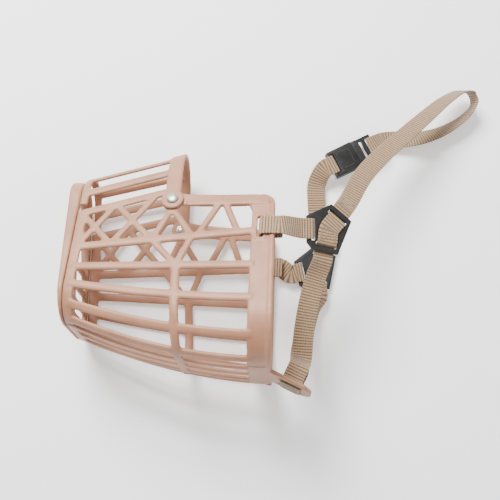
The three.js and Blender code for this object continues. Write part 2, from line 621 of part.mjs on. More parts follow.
const box = new THREE.Box3().setFromObject(assembly);
const centre = box.getCenter(new THREE.Vector3());
assembly.position.set(-centre.x, -centre.y, -box.min.z);

export default object;
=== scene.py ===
import math

import bmesh
import bpy
import numpy as np
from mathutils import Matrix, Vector


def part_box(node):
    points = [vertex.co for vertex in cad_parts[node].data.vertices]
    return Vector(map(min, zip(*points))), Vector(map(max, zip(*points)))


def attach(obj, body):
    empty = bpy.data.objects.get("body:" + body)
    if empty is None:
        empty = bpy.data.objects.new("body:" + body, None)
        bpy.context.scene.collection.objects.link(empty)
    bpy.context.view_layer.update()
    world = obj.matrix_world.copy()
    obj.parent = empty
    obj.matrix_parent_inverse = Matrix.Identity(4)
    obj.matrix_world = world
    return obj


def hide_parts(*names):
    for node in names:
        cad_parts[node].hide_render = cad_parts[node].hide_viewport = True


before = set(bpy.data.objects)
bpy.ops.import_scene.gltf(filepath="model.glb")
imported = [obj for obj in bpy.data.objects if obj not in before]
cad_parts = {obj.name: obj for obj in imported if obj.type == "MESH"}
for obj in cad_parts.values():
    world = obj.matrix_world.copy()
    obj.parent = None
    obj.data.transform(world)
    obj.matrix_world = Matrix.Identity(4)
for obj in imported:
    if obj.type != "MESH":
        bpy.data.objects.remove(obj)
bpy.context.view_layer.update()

# The view. The muzzle lies on its far side on a pale table, seen from above through a lens
# of moderate length, a little from the nose side. The table is a plain matt sheet that gives
# off a little light, as a backlit one does.
MM = 0.001


def linear(code):
    """An sRGB hex colour as linear red, green, blue and alpha."""
    parts = np.array([int(code[i:i + 2], 16) for i in (1, 3, 5)]) / 255
    low, high = parts / 12.92, ((parts + 0.055) / 1.055) ** 2.4
    return [*np.where(parts <= 0.04045, low, high), 1.0]


def node(material, kind, settings=None, links=None, **values):
    """Adds a node: settings are its properties, values its sockets, links its inputs."""
    made = material.node_tree.nodes.new("ShaderNode" + kind)
    for key, value in (settings or {}).items():
        setattr(made, key, value)
    for key, value in values.items():
        made.inputs[key.replace("_", " ")].default_value = value
    for key, source in (links or {}).items():
        material.node_tree.links.new(source, made.inputs[key])
    return made


def new_material(name):
    """An empty node material and its Principled shader's node."""
    material = bpy.data.materials.new(name)
    material.use_nodes = True
    return material, material.node_tree.nodes["Principled BSDF"]


def connect(material, source, target):
    """Links one socket to another."""
    material.node_tree.links.new(source, target)


camera = bpy.data.objects.new("camera", bpy.data.cameras.new("camera"))
bpy.context.scene.collection.objects.link(camera)
bpy.context.scene.camera = camera
camera.data.lens = 57.5
camera.data.sensor_width = 36
camera.rotation_mode = "ZYX"
camera.rotation_euler = [math.radians(turn) for turn in (10.0, -4.01, 2.43)]
camera.location = (-0.0732, -0.1342, 0.6842)

table_paint, shader = new_material("matt_white_table")
shader.inputs["Base Color"].default_value = linear("#ffffff")
shader.inputs["Roughness"].default_value = 0.85
shader.inputs["Emission Color"].default_value = linear("#ffffff")
shader.inputs["Emission Strength"].default_value = 0.3
grain = node(table_paint, "TexNoise", Scale=900.0, Detail=3.0)
connect(table_paint, node(table_paint, "TexCoord").outputs["Object"], grain.inputs["Vector"])
rise = node(table_paint, "Bump", Strength=0.04, Distance=0.0002, links={"Height": grain.outputs["Fac"]})
connect(table_paint, rise.outputs["Normal"], shader.inputs["Normal"])
table_mesh = bpy.data.meshes.new("table")
TABLE_HALF = 3.0
table_corners = [(x * TABLE_HALF, y * TABLE_HALF, 0) for x, y in ((-1, -1), (1, -1), (1, 1), (-1, 1))]
table_mesh.from_pydata(table_corners, [], [(0, 1, 2, 3)])
table = bpy.data.objects.new("table", table_mesh)
bpy.context.scene.collection.objects.link(table)
TABLE_DROP = 0.4 * MM
table.location.z = -TABLE_DROP
table_mesh.materials.append(table_paint)

# Light: a softbox beyond the nose bridge, a weaker and wider one on the jaw's side, and the
# even light of a pale room.
for name, place, size, power in (
    ("key_softbox", (-0.5, 0.75, 1.0), 0.6, 46),
    ("fill_softbox", (0.8, -0.5, 0.9), 1.1, 5),
):
    lamp = bpy.data.objects.new(name, bpy.data.lights.new(name, "AREA"))
    lamp.data.size = size
    lamp.data.energy = power
    lamp.location = place
    lamp.rotation_euler = (-Vector(place)).to_track_quat("-Z", "Y").to_euler()
    bpy.context.scene.collection.objects.link(lamp)
room = bpy.data.worlds.new("pale_room")
room.use_nodes = True
room.node_tree.nodes["Background"].inputs["Color"].default_value = (1.0, 1.0, 1.0, 1.0)
room.node_tree.nodes["Background"].inputs["Strength"].default_value = 0.7
bpy.context.scene.world = room

# The basket: one flexible moulding in pinkish tan polyethylene, folded up from the flat. Its
# side nets, chin net, bridge and front grille meet at thin hinges moulded in the sheet.
LENGTH, LEAN = 157.0, math.radians(14)
HALF_WIDTH, LOW_BEND, LOW_RADIUS, TOP_BEND = (38, 54), (13, 30), (22, 33), (-69, -114)
BAR, SLIM_BAR, WALL, GAP = 7.0, 5.5, 3.2, 0.3
TOP_RAIL, UPPER_RAIL = (-49, -95), (-17.5, -32)
LOWER_RAILS, CHIN_RAIL = ((14, 28), (28, 55), (40, 77)), (50, 97)
POST_END, BAND_START, CHEEK_T, CHEEK_RAIL, RIB_U = 8.0, 139.0, -60.0, 11.0, 84.0
RIVET_U, RIVET_T = 76.0, -60.0
HALF = WALL / 2


def mix(pair, share):
    return pair[0] + (pair[1] - pair[0]) * share


def settle(share):
    """Rises fast at the nose and levels off towards the rear."""
    return 1 - (1 - np.clip(share, 0, 1)) ** 2


def wall(u, t, n, side):
    """A point of the basket's wall. The section is a straight leaning side from the top bend
    to the low bend, an arc over the bridge and a tighter arc under the jaw, then level."""
    u, t, n = np.broadcast_arrays(*(np.asarray(x, float) for x in (u, t, n)))
    share = u / LENGTH
    low, top = mix(LOW_BEND, settle(share)), mix(TOP_BEND, share)
    sin, cos = math.sin(LEAN), math.cos(LEAN)
    straight = np.minimum(low, np.maximum(top, t))
    v, w = -straight * cos, mix(HALF_WIDTH, share) + straight * sin
    radius = mix(LOW_RADIUS, settle(share))
    past = np.maximum(t - low, 0)
    arc = np.minimum(past / radius, math.pi / 2 + LEAN)
    over = w / cos
    lift = np.maximum(top - t, 0) / over
    v = v + radius * (np.sin(LEAN - arc) - sin) + over * (np.sin(LEAN + lift) - sin)
    w = w + radius * (np.cos(LEAN - arc) - cos) - (past - arc * radius) + over * (np.cos(LEAN + lift) - cos)
    turn = lift - arc
    return np.stack([u, v + n * np.sin(LEAN + turn), side * (w + n * np.cos(LEAN + turn))], -1)


def seam(u):
    """The line where a side net meets the chin net."""
    return (mix(LOWER_RAILS[2], settle(u / LENGTH)) + mix(CHIN_RAIL, settle(u / LENGTH))) / 2


# The far wall rests on its rivet head and on two low points, which sets how the basket lies.
TAB_IN, TAB_OUT, HEAD_HEIGHT = HALF + GAP, HALF + GAP + 2.8, 2.2
rests = [wall(RIVET_U, RIVET_T, TAB_OUT + GAP + HEAD_HEIGHT, -1), wall(5, LOW_BEND[0], HALF, -1),
         wall(LENGTH - 3, LOW_BEND[1], HALF + 1, -1)]
up = np.cross(rests[1] - rests[0], rests[2] - rests[0])
up *= np.sign(up[2]) / np.linalg.norm(up)
along = np.array([1.0, 0, 0]) - up[0] * up
along /= np.linalg.norm(along)
LAY = np.array([along, np.cross(up, along), up])
BUCKLE_MIDDLE, BUCKLE_TURN = np.array([88.0, 122, 8]), math.radians(29)
socket_low, socket_high = (np.array(corner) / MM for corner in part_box("buckle_socket"))
socket_middle = BUCKLE_MIDDLE - 9 * np.array([math.cos(BUCKLE_TURN), math.sin(BUCKLE_TURN), 0])
SHIFT = (socket_low + socket_high) / 2 - socket_middle
LAID = np.array([-140.0, -4, -(LAY @ rests[0])[2]])


def lay(points):
    """Basket coordinates to the row frame, before the shift that centres the whole part."""
    return np.asarray(points) @ LAY.T + LAID


def section(count, power):
    """A rounded rectangle of width and height 1, as the points of a superellipse."""
    turn = np.linspace(0, 2 * math.pi, count, endpoint=False) + math.pi / count
    across, height = (np.sign(x) * np.abs(x) ** (2 / power) / 2 for x in (np.cos(turn), np.sin(turn)))
    return across, height


def skin(rings):
    """A closed surface through rings of points: quads along it and a flat cap at each end."""
    rows, count = rings.shape[:2]
    grid = np.arange(rows * count).reshape(rows, count)
    after = np.roll(grid, -1, 1)
    quads = np.stack([grid[:-1], after[:-1], after[1:], grid[1:]], -1).reshape(-1, 4)
    return rings.reshape(-1, 3), [*quads.tolist(), grid[0][::-1].tolist(), grid[-1].tolist()]


def bar(side, path, width, inside=-HALF, outside=HALF, step=2.0, power=5):
    """A bar of the net: a rounded section carried over the wall along path(share) = (u, t)."""
    ends = np.array([path(share) for share in np.linspace(0, 1, 9)])
    length = np.linalg.norm(np.diff(ends, axis=0), axis=1).sum()
    share = np.linspace(0, 1, max(3, int(length / step)))
    u, t = path(share)
    u, t = np.broadcast_arrays(u, t)
    du, dt = np.gradient(u), np.gradient(t)
    across, height = section(20, power)
    across = across[None] * width / np.hypot(du, dt)[:, None]
    depth = (inside + outside) / 2 + height[None] * (outside - inside)
    return skin(wall(u[:, None] - dt[:, None] * across, t[:, None] + du[:, None] * across, depth, side))


def line(start, end):
    """A straight path over the wall between two (u, t) points."""
    return lambda share: (mix((start[0], end[0]), share), mix((start[1], end[1]), share))


def rail(heights, start, end, even=False):
    """A path along the basket whose t goes from the front height to the rear one, evenly or
    quickly at first."""
    def path(share):
        u = mix((start, end), share)
        return u, mix(heights, u / LENGTH if even else settle(u / LENGTH))
    return path


def ring(side, u, t, bore, radius, inside, outside):
    """A flat washer shape on the wall: a rounded section turned about the wall's normal."""
    turn = np.linspace(0, 2 * math.pi, 49)
    across, height = section(16, 4)
    reach = (bore + radius) / 2 + across[None] * (radius - bore)
    depth = (inside + outside) / 2 + height[None] * (outside - inside)
    rings = wall(u + np.cos(turn)[:, None] * reach, t + np.sin(turn)[:, None] * reach, depth, side)
    return skin(rings)


def finish_mesh(name, parts):
    """One object from closed surfaces given in millimetres, at their place in the row frame."""
    points, faces, start = [], [], 0
    for corners, loops in parts:
        points.append(corners)
        faces += [[corner + start for corner in loop] for loop in loops]
        start += len(corners)
    mesh = bpy.data.meshes.new(name)
    mesh.from_pydata(((np.concatenate(points) + SHIFT) * MM).tolist(), [], faces)
    shape = bmesh.new()
    shape.from_mesh(mesh)
    bmesh.ops.recalc_face_normals(shape, faces=shape.faces)
    shape.to_mesh(mesh)
    shape.free()
    mesh.polygons.foreach_set("use_smooth", [True] * len(mesh.polygons))
    made = bpy.data.objects.new(name, mesh)
    bpy.context.scene.collection.objects.link(made)
    return made


def apply_modifiers(made):
    """Turns the object's modifiers into its own mesh."""
    bpy.context.view_layer.update()
    shape = bpy.data.meshes.new_from_object(made.evaluated_get(bpy.context.evaluated_depsgraph_get()))
    made.modifiers.clear()
    made.data = shape
    shape.polygons.foreach_set("use_smooth", [True] * len(shape.polygons))


def moulded(name, parts, voxel=0.85):
    """Runs the bars into each other as one moulding, with the small fillets that a mould leaves."""
    made = finish_mesh(name, [(lay(corners), loops) for corners, loops in parts])
    melt = made.modifiers.new("one_skin", "REMESH")
    melt.mode = "VOXEL"
    melt.voxel_size = voxel * MM
    soften = made.modifiers.new("fillets", "SMOOTH")
    soften.factor = 0.5
    soften.iterations = 4
    apply_modifiers(made)
    return made


# Injection moulded polyethylene: waxy, a soft sheen from a faintly textured mould, and a
# colour that wanders a little with the flow of the melt.
polyethylene, shader = new_material("moulded_tan_polyethylene")
place = node(polyethylene, "TexCoord").outputs["Object"]
flow = node(polyethylene, "TexNoise", Scale=45.0, Detail=3.0, Roughness=0.5, links={"Vector": place})
tint = node(polyethylene, "ValToRGB", links={"Fac": flow.outputs["Fac"]})
tint.color_ramp.elements[0].position, tint.color_ramp.elements[0].color = 0.3, linear("#9c6c51")
tint.color_ramp.elements[1].position, tint.color_ramp.elements[1].color = 0.7, linear("#ad7e61")
connect(polyethylene, tint.outputs["Color"], shader.inputs["Base Color"])
TEXTURE_MM = 0.7
mould = node(polyethylene, "TexNoise", Scale=1 / (TEXTURE_MM * MM), Detail=2.0, links={"Vector": place})
wander = node(polyethylene, "TexNoise", Scale=120.0, Detail=2.0, links={"Vector": place})
gloss = node(polyethylene, "MapRange", links={"Value": wander.outputs["Fac"]}, To_Min=0.42, To_Max=0.56)
connect(polyethylene, gloss.outputs["Result"], shader.inputs["Roughness"])
relief = node(polyethylene, "Bump", Strength=0.18, Distance=0.00012, links={"Height": mould.outputs["Fac"]})
connect(polyethylene, relief.outputs["Normal"], shader.inputs["Normal"])
shader.inputs["IOR"].default_value = 1.51
shader.inputs["Subsurface Weight"].default_value = 0.12
shader.inputs["Subsurface Radius"].default_value = (0.003, 0.0014, 0.0008)
shader.inputs["Subsurface Scale"].default_value = 0.6


def top_rail(u):
    """The t of the top rail."""
    return mix(TOP_RAIL, u / LENGTH)


def upper_rail(u):
    """The t of the rail under the braces."""
    return mix(UPPER_RAIL, u / LENGTH)


# Side nets: a front post, level rails, crossed braces, an upright rib, a beaded cheek rail
# and a wide rear band, with a rimmed slot in the band for the cheek strap.
SLOT_U, SLOT_T, SLOT_WIDTH, SLOT_LENGTH = 146.0, -33.5, 4.5, 19.0


CROWN = HALF + 0.7


def side_net(side):
    """The closed surfaces of one side net's bars."""
    start, reach = GAP + BAR / 2, BAND_START + 3
    slot_top, slot_low = SLOT_T - SLOT_LENGTH / 2, SLOT_T + SLOT_LENGTH / 2
    band_top, band_low = CHEEK_T + 4, seam(LENGTH) - GAP / 2
    front_strip = (BAND_START + SLOT_U - SLOT_WIDTH / 2) / 2
    rear_strip = (SLOT_U + SLOT_WIDTH / 2 + LENGTH) / 2
    middle = (BAND_START + LENGTH) / 2
    band, post_u = LENGTH - BAND_START, POST_END / 2 + GAP
    front_width = SLOT_U - SLOT_WIDTH / 2 - BAND_START
    rear_width = LENGTH - SLOT_U - SLOT_WIDTH / 2
    parts = [
        bar(side, line((post_u, top_rail(0) - BAR / 2), (post_u, seam(POST_END) - GAP)), POST_END),
        bar(side, rail(TOP_RAIL, start, RIVET_U - 2, True), BAR, power=3),
        bar(side, rail(UPPER_RAIL, start, reach, True), BAR, -HALF, CROWN, power=2.6),
        bar(side, line((start, 0), (reach, 0)), BAR, -HALF, CROWN, power=2.6),
        *(bar(side, rail(heights, start, reach), BAR, -HALF, CROWN, power=2.6) for heights in LOWER_RAILS),
        bar(side, line((RIB_U, 0), (RIB_U + 4, seam(RIB_U) - GAP / 2)), BAR, -HALF, CROWN, power=2.6),
        bar(side, line((middle, band_top), (middle, slot_top)), band),
        bar(side, line((middle, slot_low), (middle, band_low)), band),
        bar(side, line((front_strip, slot_top - 3), (front_strip, slot_low + 3)), front_width),
        bar(side, line((rear_strip, slot_top - 3), (rear_strip, slot_low + 3)), rear_width),
        bar(side, line((LENGTH - 2, CHEEK_T + 6), (LENGTH - 2, band_low)), 3.4, 0, HALF + 1),
        bar(side, line((LENGTH - 2, CHEEK_T + 6), (LENGTH - 2, band_low)), 3, -HALF - 0.7, 0),
        bar(side, lambda s: (mix((RIVET_U, BAND_START + 4), s), CHEEK_T - 3 * (1 - s) ** 4), CHEEK_RAIL),
        bar(side, line((RIVET_U + 12, CHEEK_T + 3.5), (LENGTH - 5, CHEEK_T + 3.5)), 3.5, 0, HALF + 1),
        ring(side, RIVET_U, RIVET_T, 2.3, 8.5, -HALF, HALF),
        ring(side, BAND_START + 8, CHEEK_T + 4, 0.02, CHEEK_RAIL - 1.5, -HALF, HALF),
        ring(side, LENGTH - 10, CHEEK_T + 4.5, 0.02, 10, -HALF, HALF),
    ]
    rim = SLOT_WIDTH / 2 + 1
    parts += [bar(side, line((u, slot_top - 2), (u, slot_low + 2)), 2, 0, CROWN)
              for u in (SLOT_U - rim, SLOT_U + rim)]
    parts += [bar(side, line((SLOT_U - rim - 1, t), (SLOT_U + rim + 1, t)), 2, 0, CROWN)
              for t in (slot_top - 1, slot_low + 1)]
    cells = (start, 31, 63, 94)
    for i, (u0, u1) in enumerate(zip(cells, cells[1:])):
        last = i == 2
        top_start = (RIVET_U - 4, RIVET_T) if last else (u0, top_rail(u0))
        top_end = (RIVET_U + 3, RIVET_T) if last else (u1, top_rail(u1))
        parts.append(bar(side, line(top_start, (u1, upper_rail(u1))), SLIM_BAR, power=2.6))
        parts.append(bar(side, line((u0, upper_rail(u0)), top_end), SLIM_BAR, power=2.6))
    for u0, t0, u1, t1 in ((63, upper_rail(63), RIB_U, 0), (94, upper_rail(94), RIB_U, 0),
                           (98, upper_rail(98), 115, CHEEK_T), (129, upper_rail(129), 117, CHEEK_T)):
        parts.append(bar(side, line((u0, t0), (u1, t1)), SLIM_BAR, -HALF, CROWN, power=2.6))
    return parts


for name, side in (("near_side_net", 1), ("far_side_net", -1)):
    net = moulded(name + "_moulding", side_net(side))
    net.data.materials.append(polyethylene)
    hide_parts(name)
    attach(net, "muzzle")

# The nose bridge: a flap of four long bars that folds over from the front, with a wide band
# across its end. The band's round tabs lie over the side nets and are riveted to them.
def ridge(u):
    """How far up the wall the middle of the bridge is."""
    top = mix(TOP_BEND, u / LENGTH)
    return top - (mix(HALF_WIDTH, u / LENGTH) + top * math.sin(LEAN)) / math.cos(LEAN) * (math.pi / 2 - LEAN)


bridge = []
for side in (1, -1):
    for rise, width in ((18, BAR), (35, SLIM_BAR)):
        path = line((4, top_rail(4) - rise), (RIVET_U, top_rail(RIVET_U) - rise))
        bridge.append(bar(side, path, width, GAP, WALL + GAP, power=3))
    bridge += [
        bar(side, line((4.3, top_rail(4.3) - BAR), (4.3, ridge(4.3) - 1)), POST_END - 2, GAP, WALL + GAP),
        bar(side, line((RIVET_U, RIVET_T - 2), (RIVET_U, ridge(RIVET_U) - 1)), 12.5, TAB_IN, TAB_OUT),
        ring(side, RIVET_U, RIVET_T, 2.3, 9, TAB_IN, TAB_OUT),
    ]
bridge = moulded("nose_bridge_moulding", bridge)
bridge.data.materials.append(polyethylene)
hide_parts("nose_bridge")
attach(bridge, "muzzle")

# The chin net: rails under the jaw, the bottom of the rear band, and a tongue that slopes
# away behind it with a slot along each edge for the chin strap.
TONGUE_LENGTH, TONGUE_WIDTH, TONGUE_SLOPE = 36.0, 36.0, math.radians(24)
TONGUE_SLOT, TONGUE_SLOT_WIDTH = 8.0, 4.0
def keel(u):
    """How far down the wall the middle of the chin is."""
    bottom = mix(LOW_BEND, settle(u / LENGTH)) + mix(LOW_RADIUS, settle(u / LENGTH)) * (math.pi / 2 + LEAN)
    return bottom + wall(u, bottom, 0, 1)[2]


def beam(start, end, wide, width, thick):
    """A straight bar between two points with the same rounded section."""
    start, end, wide = (np.asarray(x, float) for x in (start, end, wide))
    normal = np.cross(end - start, wide)
    normal /= np.linalg.norm(normal)
    across, height = section(20, 5)
    middle = start + (end - start) * np.linspace(0, 1, 12)[:, None]
    spread = wide * (across * width)[None, :, None] + normal * (height * thick)[None, :, None]
    return skin(middle[:, None] + spread)


floor_v = wall(LENGTH, keel(LENGTH), 0, 1)[1]


def on_tongue(reach, height, across):
    """A point in basket coordinates: down the tongue, off its face, and across it."""
    sin, cos = math.sin(TONGUE_SLOPE), math.cos(TONGUE_SLOPE)
    return np.array([LENGTH - 2 + reach * cos + height * sin, floor_v - reach * sin + height * cos, across])


chin, strip_u, band_u = [], POST_END / 2 + GAP, (BAND_START + LENGTH) / 2
for side in (1, -1):
    chin += [
        bar(side, rail(CHIN_RAIL, POST_END, BAND_START + 3), BAR, power=2.6),
        bar(side, line((strip_u, seam(POST_END) + GAP), (strip_u, keel(strip_u) + 1)), POST_END),
        bar(side, line((RIB_U + 4, seam(RIB_U) + GAP / 2), (RIB_U + 4, keel(RIB_U + 4) + 1)), BAR),
        bar(side, line((band_u, seam(LENGTH) + GAP / 2), (band_u, keel(band_u) + 1)), LENGTH - BAND_START),
        bar(side, line((LENGTH - 2, seam(LENGTH) + GAP / 2), (LENGTH - 2, keel(LENGTH) + 1)), 3, -CROWN, 0),
    ]
    outer = TONGUE_SLOT + TONGUE_SLOT_WIDTH
    rim_middle = (outer + TONGUE_WIDTH / 2) / 2
    rim_end = on_tongue(TONGUE_LENGTH - 6, 0, side * (rim_middle - 1.5))
    chin.append(beam(on_tongue(-2, 0, side * rim_middle), rim_end, (0, 0, 1), TONGUE_WIDTH / 2 - outer, WALL))
keel_u = np.linspace(strip_u, LENGTH - 4, 70)
keel_t = np.array([keel(u) for u in keel_u])
keel_share = np.linspace(0, 1, 70)
chin.append(bar(1, lambda s: (mix((strip_u, LENGTH - 4), s), np.interp(s, keel_share, keel_t)), BAR))
level = np.array([0, 0, 1])
chin += [
    beam(on_tongue(-2, 0, 0), on_tongue(TONGUE_LENGTH - 1, 0, 0), level, TONGUE_SLOT * 2, WALL),
    beam(on_tongue(-1, 0, 0), on_tongue(TONGUE_LENGTH - 27.4, 0, 0), level, TONGUE_WIDTH - 1, WALL),
    beam(on_tongue(TONGUE_LENGTH - 8, 0, 0), on_tongue(TONGUE_LENGTH - 2.5, 0, 0), level,
         TONGUE_WIDTH - 8, WALL),
    beam([LENGTH - 8, floor_v, 0], [LENGTH, floor_v, 0], level, TONGUE_WIDTH - 1, WALL),
]
chin = moulded("chin_net_moulding", chin)
chin.data.materials.append(polyethylene)
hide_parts("chin_net")
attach(chin, "muzzle")

# The front grille closes the nose end. Its rim is deeper towards the bridge, and level bars
# with one upright in the middle carry on the lines of the side rails.
FRONT_DEPTH = (2.5, 11.0)
rim_t = np.linspace(ridge(0), keel(0), 90)
rim = wall(0, rim_t, HALF - BAR / 2, 1)
loop = np.concatenate([rim, rim[::-1][1:] * (1, 1, -1)])
facing = np.gradient(loop[:, 1:], axis=0)
facing = np.stack([facing[:, 1], -facing[:, 0]], -1) / np.linalg.norm(facing, axis=1)[:, None]
top_v, low_v = rim[0, 1] + BAR / 2, rim[-1, 1] - BAR / 2


def front(v):
    """How far the grille's face stands in front of the side nets at a height."""
    return mix(FRONT_DEPTH, np.clip((v - low_v) / (top_v - low_v), 0, 1))


across, height = section(20, 6)
outline = loop[:, None, 1:] + facing[:, None] * (across * BAR)[None, :, None]
depth = front(outline[..., 0]) * (height[None] - 0.5)
grille = [skin(np.concatenate([depth[..., None], outline], -1))]
FACE_WALL = 3.4
for t in (TOP_RAIL[0], UPPER_RAIL[0], 0, LOWER_RAILS[0][0], LOWER_RAILS[1][0]):
    v, half_width = wall(0, t, -2, 1)[1:]
    face_u = -front(v) + FACE_WALL / 2
    grille.append(beam([face_u, v, -half_width], [face_u, v, half_width], (0, 1, 0), SLIM_BAR, FACE_WALL))
upright = [[-front(v) + FACE_WALL / 2, v + inset, 0] for v, inset in ((top_v, -3), (low_v, 3))]
grille.append(beam(*upright, (0, 0, 1), SLIM_BAR, FACE_WALL))
grille = moulded("front_grille_moulding", grille)
grille.data.materials.append(polyethylene)
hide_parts("front_grille")
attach(grille, "muzzle")

# Rivets: plated steel with a low domed head over each tab, its tail spread over a washer
# inside the net. Plating shows fine scratches and a slightly soft reflection.
plated_steel, shader = new_material("nickel_plated_steel")
place = node(plated_steel, "TexCoord").outputs["Object"]
scratches = node(plated_steel, "TexNoise", Scale=900.0, Detail=4.0, links={"Vector": place})
shader.inputs["Base Color"].default_value = linear("#b3b9aa")
shader.inputs["Metallic"].default_value = 1.0
polish = node(plated_steel, "MapRange", links={"Value": scratches.outputs["Fac"]}, To_Min=0.3, To_Max=0.5)
connect(plated_steel, polish.outputs["Result"], shader.inputs["Roughness"])
relief = node(plated_steel, "Bump", Strength=0.1, Distance=0.00005,
              links={"Height": scratches.outputs["Fac"]})
connect(plated_steel, relief.outputs["Normal"], shader.inputs["Normal"])


def turned(side, radii, heights):
    """A profile of radii and heights turned about the wall's normal at the rivet."""
    turn = np.linspace(0, 2 * math.pi, 64, endpoint=False)
    reach = np.asarray(radii)[:, None]
    u, t = RIVET_U + np.cos(turn) * reach, RIVET_T + np.sin(turn) * reach
    corners, loops = skin(wall(u, t, np.asarray(heights)[:, None], side))
    return lay(corners), loops


HEAD, SHANK, WASHER, EDGE = 4.8, 2.0, (2.35, 4.5, 1.0), 0.15
seat, tail = TAB_OUT + GAP, -HALF - GAP - WASHER[2] - GAP
dome = np.linspace(math.pi / 2 - 0.03, 0.22, 14)
for name, side in (("near_rivet", 1), ("far_rivet", -1)):
    radii = [
        *(HEAD * np.cos(dome)),
        HEAD, HEAD * 0.96, SHANK, SHANK, SHANK + 1.2, SHANK + 1.1, SHANK + 0.6, 0.1,
    ]
    heights = [
        *(seat + 0.25 + (HEAD_HEIGHT - 0.25) * np.sin(dome)),
        seat + 0.3, seat, seat, tail, tail, tail - 0.5, tail - 1, tail - 1.15,
    ]
    head = finish_mesh(name + "_turned", [turned(side, radii, heights)])
    bore, radius, thick = WASHER
    low, high = -HALF - GAP - thick, -HALF - GAP
    inner, outer = bore + EDGE, radius - EDGE
    radii = [bore, inner, outer, radius, radius, outer, inner, bore, bore]
    heights = [low + EDGE, low, low, low + EDGE, high - EDGE, high, high, high - EDGE, low + EDGE]
    corners, loops = turned(side, radii, heights)
    washer = finish_mesh(name + "_washer_turned", [(corners, loops[:-2])])
    merged = bmesh.new()
    merged.from_mesh(washer.data)
    bmesh.ops.remove_doubles(merged, verts=merged.verts, dist=1e-6)
    bmesh.ops.recalc_face_normals(merged, faces=merged.faces)
    merged.to_mesh(washer.data)
    merged.free()
    for piece, replaced in ((head, name), (washer, name + "_washer")):
        piece.data.materials.append(plated_steel)
        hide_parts(replaced)
        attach(piece, "muzzle")

# Harness webbing: flat nylon tape, 16 mm wide, woven with close ribs across it and a firm
# selvedge at each edge. It passes through the band's slots, the connectors and the tongue.
WEBBING, WEBBING_WALL, RIB_PITCH = 16.0, 1.4, 2.2
PLATE_WALL, PLATE_SLOT, PLATE_REACH, PLATE_RIM = 2.4, 3.4, 12.5, 3.6
SLOT_TURNS = {"cheek": math.radians(182), "neck": math.radians(54), "chin": math.radians(262)}


def unit(vector):
    return np.asarray(vector, float) / np.linalg.norm(vector)


def plate_axes(tilt, turn):
    """The three axes of a connector plate: along, across and out of its face."""
    normal = unit([tilt, 0, 1])
    level = np.array([math.cos(turn), math.sin(turn), 0])
    first = unit(level - level @ normal * normal)
    return np.array([first, np.cross(normal, first), normal]).T


NEAR_PLATE = (np.array([54.5, 39, 82]), plate_axes(0.2, 0))
FAR_PLATE = (np.array([58.0, 20, 3.4]), plate_axes(0, math.radians(12)))


def tilted_stop(x, y, z, heading, tilt):
    """A stop where the tape runs towards a heading in degrees, with its edge on the inner
    side of the turn lifted by a tilt in degrees."""
    turn, lift = math.radians(heading - 90), math.radians(tilt)
    level = math.cos(lift)
    return np.array([x, y, z]), np.array([math.cos(turn) * level, math.sin(turn) * level, math.sin(lift)])


def flat_stop(x, y, z, heading):
    """A stop where the tape lies level."""
    return tilted_stop(x, y, z, heading, 0)


def plate_turn(plate, name, face=1):
    """The tape's end at one slot: its tip in the slot and its run over the bar outside it, or
    under that bar when face is -1."""
    middle, axes = plate
    angle = SLOT_TURNS[name]
    wide = axes @ [-math.sin(angle), math.cos(angle), 0]
    level = PLATE_WALL / 2 + GAP + WEBBING_WALL / 2 + 0.1
    end = PLATE_REACH + PLATE_SLOT / 2 + PLATE_RIM
    places = [(PLATE_REACH, level - 0.9), (PLATE_REACH + 1.3, level), (end, level), (end + 6, level + 0.2)]
    return [(middle + axes @ [math.cos(angle) * r, math.sin(angle) * r, h * face], wide) for r, h in places]


def plate_crossing():
    """The chin tape's start, over the near connector's middle from the neck slot to the chin
    slot, and down through that slot to the underside."""
    middle, axes = NEAR_PLATE
    level = PLATE_WALL / 2 + GAP + WEBBING_WALL / 2 + 0.1
    stops = []
    for name, reach, rise, sign in (
        ("neck", 11.8, level - 0.4, -1), ("neck", 9.5, level, -1), ("chin", 0.01, level, 1),
        ("chin", 9.5, level, 1), ("chin", PLATE_REACH - 0.5, level - 1, 1),
        ("chin", PLATE_REACH + 0.3, 1 - level, 1),
    ):
        cos, sin = math.cos(SLOT_TURNS[name]), math.sin(SLOT_TURNS[name])
        stops.append((middle + axes @ [cos * reach, sin * reach, rise], axes @ [-sin * sign, cos * sign, 0]))
    return stops + plate_turn(NEAR_PLATE, "chin", -1)[1:]


def facing_same(stops, direction):
    """The same stops with their width directions turned to agree with one direction."""
    return [(at, wide if wide @ direction > 0 else -wide) for at, wide in stops]


